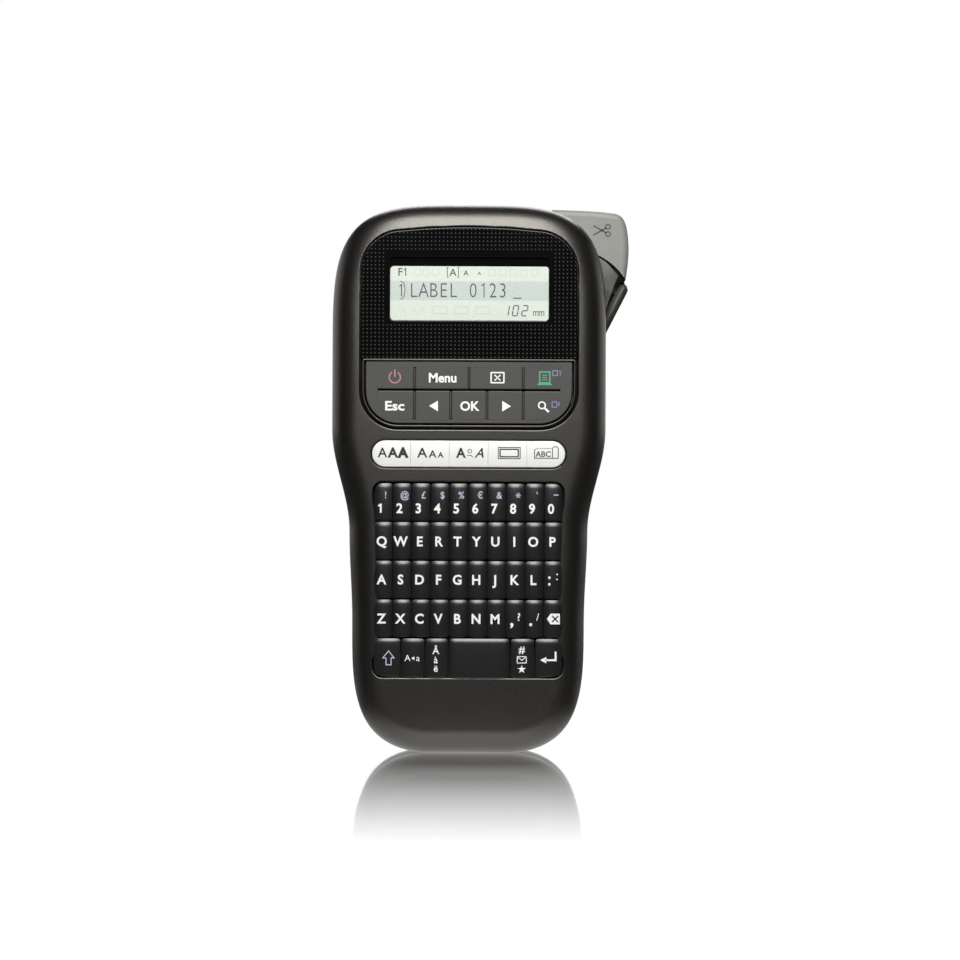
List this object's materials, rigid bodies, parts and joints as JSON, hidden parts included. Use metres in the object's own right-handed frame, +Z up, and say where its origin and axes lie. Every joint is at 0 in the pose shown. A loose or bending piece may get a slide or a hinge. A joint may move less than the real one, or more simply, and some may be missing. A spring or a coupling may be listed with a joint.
{
  "type": "label maker",
  "caption": "Handheld label maker: black case, display and keypads in front, grey tape-cutter lever at the top right corner.",
  "frame": {"origin": "middle of the small flat on the foot that the object stands on", "axes": "+Z up along the body to the head, the face and its keys look along -Y, +X to the right as seen from the front"},
  "size_m": [0.1123, 0.0595, 0.207],
  "materials": {
    "shell": "satin, fine texture",
    "panel": "gloss with a printed grid of small dots",
    "lcd": "pale reflective display",
    "dark_frame": "satin",
    "flex": "satin",
    "pad_rubber": "fine matt",
    "style_white": "satin",
    "key_black": "satin",
    "mat_rubber": "matt",
    "board_green": "satin",
    "lever_grey": "satin",
    "blade_steel": "brushed",
    "steel": "satin",
    "sheet_steel": "satin",
    "ceramic_white": "glazed",
    "aluminium": "satin",
    "roller_rubber": "matt",
    "gear_plastic": "satin",
    "brass": "satin",
    "cassette_plastic": "satin",
    "tape": "matt",
    "cell_wrap": "printed wrap with a copper band",
    "screw_steel": "dark"
  },
  "bodies": {
    "housing": {"front_case": "shell", "rear_case": "shell", "display_panel": "panel", "lcd_glass": "lcd", "lcd_frame": "dark_frame", "lcd_flex": "flex", "keypad_mat": "mat_rubber", "main_board": "board_green", "board_parts": "dark_frame", "cutter_anvil": "blade_steel", "lever_pin": "steel", "lever_spring": "steel", "print_chassis": "sheet_steel", "print_head": "ceramic_white", "heat_sink": "aluminium", "idler_stud": "steel", "drive_motor": "steel", "battery_springs": "steel", "battery_plates": "steel", "dc_jack": "dark_frame", "case_screws": "screw_steel"},
    "lever": {"cutter_lever": "lever_grey", "cutter_blade": "blade_steel"},
    "pinion": {"motor_pinion": "brass"},
    "idler": {"idler_gear": "gear_plastic"},
    "platen": {"platen_roller": "roller_rubber", "platen_gear": "gear_plastic", "platen_shaft": "steel"},
    "ribbon_drive": {"ribbon_gear": "gear_plastic", "ribbon_spindle": "gear_plastic"},
    "cover": {"back_cover": "shell"},
    "cassette": {"tape_cassette": "cassette_plastic", "cassette_lid": "cassette_plastic", "tape_roll": "tape"},
    "batteries": {"battery_cells": "cell_wrap"},
    "key_power": {"key_power": "pad_rubber"},
    "key_text": {"key_text": "pad_rubber"},
    "key_clear": {"key_clear": "pad_rubber"},
    "key_print": {"key_print": "pad_rubber"},
    "key_escape": {"key_escape": "pad_rubber"},
    "key_left": {"key_left": "pad_rubber"},
    "key_select": {"key_select": "pad_rubber"},
    "key_right": {"key_right": "pad_rubber"},
    "key_preview": {"key_preview": "pad_rubber"},
    "key_shift": {"key_shift": "key_black"},
    "key_case": {"key_case": "key_black"},
    "key_accent": {"key_accent": "key_black"},
    "key_space": {"key_space": "key_black"},
    "key_sign": {"key_sign": "key_black"},
    "key_enter": {"key_enter": "key_black"},
    "style_key_font": {"style_key_font": "style_white"},
    "style_key_size": {"style_key_size": "style_white"},
    "style_key_effect": {"style_key_effect": "style_white"},
    "style_key_frame": {"style_key_frame": "style_white"},
    "style_key_symbol": {"style_key_symbol": "style_white"},
    "digit_row": {"digit_keys": "key_black"},
    "upper_letter_row": {"upper_letter_keys": "key_black"},
    "middle_letter_row": {"middle_letter_keys": "key_black"},
    "lower_letter_row": {"lower_letter_keys": "key_black"}
  },
  "joints": [
    {"name": "lever_swing", "type": "hinge", "parent": "housing", "child": "lever", "pos_m": [0.038, 0.018, 0.166], "axis": [0, -1, 0], "range_deg": [0, 10], "stiffness_Nm_per_rad": 0.12, "springref_deg": -8.59},
    {"name": "motor_turn", "type": "hinge", "parent": "housing", "child": "pinion", "pos_m": [0.04031, 0.0087, 0.13862], "axis": [0, -1, 0], "continuous": true},
    {"name": "idler_turn", "type": "hinge", "parent": "housing", "child": "idler", "pos_m": [0.03214, 0.0087, 0.1503], "axis": [0, -1, 0], "continuous": true},
    {"name": "platen_turn", "type": "hinge", "parent": "housing", "child": "platen", "pos_m": [0.0216, 0.0087, 0.162], "axis": [0, -1, 0], "continuous": true},
    {"name": "ribbon_turn", "type": "hinge", "parent": "housing", "child": "ribbon_drive", "pos_m": [0.01453, 0.0087, 0.14655], "axis": [0, -1, 0], "continuous": true},
    {"name": "cover_release", "type": "slide", "parent": "housing", "child": "cover", "axis": [0, 1, 0], "range_m": [0, 0.06]},
    {"name": "cassette_lift", "type": "slide", "parent": "housing", "child": "cassette", "axis": [0, 1, 0], "range_m": [0, 0.036]},
    {"name": "battery_lift", "type": "slide", "parent": "housing", "child": "batteries", "axis": [0, 1, 0], "range_m": [0, 0.024]},
    {"name": "press_power", "type": "slide", "parent": "housing", "child": "key_power", "axis": [0, 1, 0], "range_m": [0, 0.001], "stiffness_N_per_m": 300},
    {"name": "press_text", "type": "slide", "parent": "housing", "child": "key_text", "axis": [0, 1, 0], "range_m": [0, 0.001], "stiffness_N_per_m": 300},
    {"name": "press_clear", "type": "slide", "parent": "housing", "child": "key_clear", "axis": [0, 1, 0], "range_m": [0, 0.001], "stiffness_N_per_m": 300},
    {"name": "press_print", "type": "slide", "parent": "housing", "child": "key_print", "axis": [0, 1, 0], "range_m": [0, 0.001], "stiffness_N_per_m": 300},
    {"name": "press_escape", "type": "slide", "parent": "housing", "child": "key_escape", "axis": [0, 1, 0], "range_m": [0, 0.001], "stiffness_N_per_m": 300},
    {"name": "press_left", "type": "slide", "parent": "housing", "child": "key_left", "axis": [0, 1, 0], "range_m": [0, 0.001], "stiffness_N_per_m": 300},
    {"name": "press_select", "type": "slide", "parent": "housing", "child": "key_select", "axis": [0, 1, 0], "range_m": [0, 0.001], "stiffness_N_per_m": 300},
    {"name": "press_right", "type": "slide", "parent": "housing", "child": "key_right", "axis": [0, 1, 0], "range_m": [0, 0.001], "stiffness_N_per_m": 300},
    {"name": "press_preview", "type": "slide", "parent": "housing", "child": "key_preview", "axis": [0, 1, 0], "range_m": [0, 0.001], "stiffness_N_per_m": 300},
    {"name": "press_shift", "type": "slide", "parent": "housing", "child": "key_shift", "axis": [0, 1, 0], "range_m": [0, 0.001], "stiffness_N_per_m": 300},
    {"name": "press_case", "type": "slide", "parent": "housing", "child": "key_case", "axis": [0, 1, 0], "range_m": [0, 0.001], "stiffness_N_per_m": 300},
    {"name": "press_accent", "type": "slide", "parent": "housing", "child": "key_accent", "axis": [0, 1, 0], "range_m": [0, 0.001], "stiffness_N_per_m": 300},
    {"name": "press_space", "type": "slide", "parent": "housing", "child": "key_space", "axis": [0, 1, 0], "range_m": [0, 0.001], "stiffness_N_per_m": 400},
    {"name": "press_sign", "type": "slide", "parent": "housing", "child": "key_sign", "axis": [0, 1, 0], "range_m": [0, 0.001], "stiffness_N_per_m": 300},
    {"name": "press_enter", "type": "slide", "parent": "housing", "child": "key_enter", "axis": [0, 1, 0], "range_m": [0, 0.001], "stiffness_N_per_m": 300},
    {"name": "press_style_font", "type": "slide", "parent": "housing", "child": "style_key_font", "axis": [0, 1, 0], "range_m": [0, 0.001], "stiffness_N_per_m": 300},
    {"name": "press_style_size", "type": "slide", "parent": "housing", "child": "style_key_size", "axis": [0, 1, 0], "range_m": [0, 0.001], "stiffness_N_per_m": 300},
    {"name": "press_style_effect", "type": "slide", "parent": "housing", "child": "style_key_effect", "axis": [0, 1, 0], "range_m": [0, 0.001], "stiffness_N_per_m": 300},
    {"name": "press_style_frame", "type": "slide", "parent": "housing", "child": "style_key_frame", "axis": [0, 1, 0], "range_m": [0, 0.001], "stiffness_N_per_m": 300},
    {"name": "press_style_symbol", "type": "slide", "parent": "housing", "child": "style_key_symbol", "axis": [0, 1, 0], "range_m": [0, 0.001], "stiffness_N_per_m": 300},
    {"name": "press_digit_row", "type": "slide", "parent": "housing", "child": "digit_row", "axis": [0, 1, 0], "range_m": [0, 0.001], "stiffness_N_per_m": 600},
    {"name": "press_upper_letter_row", "type": "slide", "parent": "housing", "child": "upper_letter_row", "axis": [0, 1, 0], "range_m": [0, 0.001], "stiffness_N_per_m": 600},
    {"name": "press_middle_letter_row", "type": "slide", "parent": "housing", "child": "middle_letter_row", "axis": [0, 1, 0], "range_m": [0, 0.001], "stiffness_N_per_m": 600},
    {"name": "press_lower_letter_row", "type": "slide", "parent": "housing", "child": "lower_letter_row", "axis": [0, 1, 0], "range_m": [0, 0.001], "stiffness_N_per_m": 600}
  ],
  "couplings": [
    {"joint": "idler_turn", "follows": "motor_turn", "ratio": -0.46154},
    {"joint": "platen_turn", "follows": "motor_turn", "ratio": 0.75},
    {"joint": "ribbon_turn", "follows": "motor_turn", "ratio": 0.54545},
    {"joint": "cassette_lift", "follows": "cover_release", "ratio": 0.6},
    {"joint": "battery_lift", "follows": "cover_release", "ratio": 0.4}
  ]
}
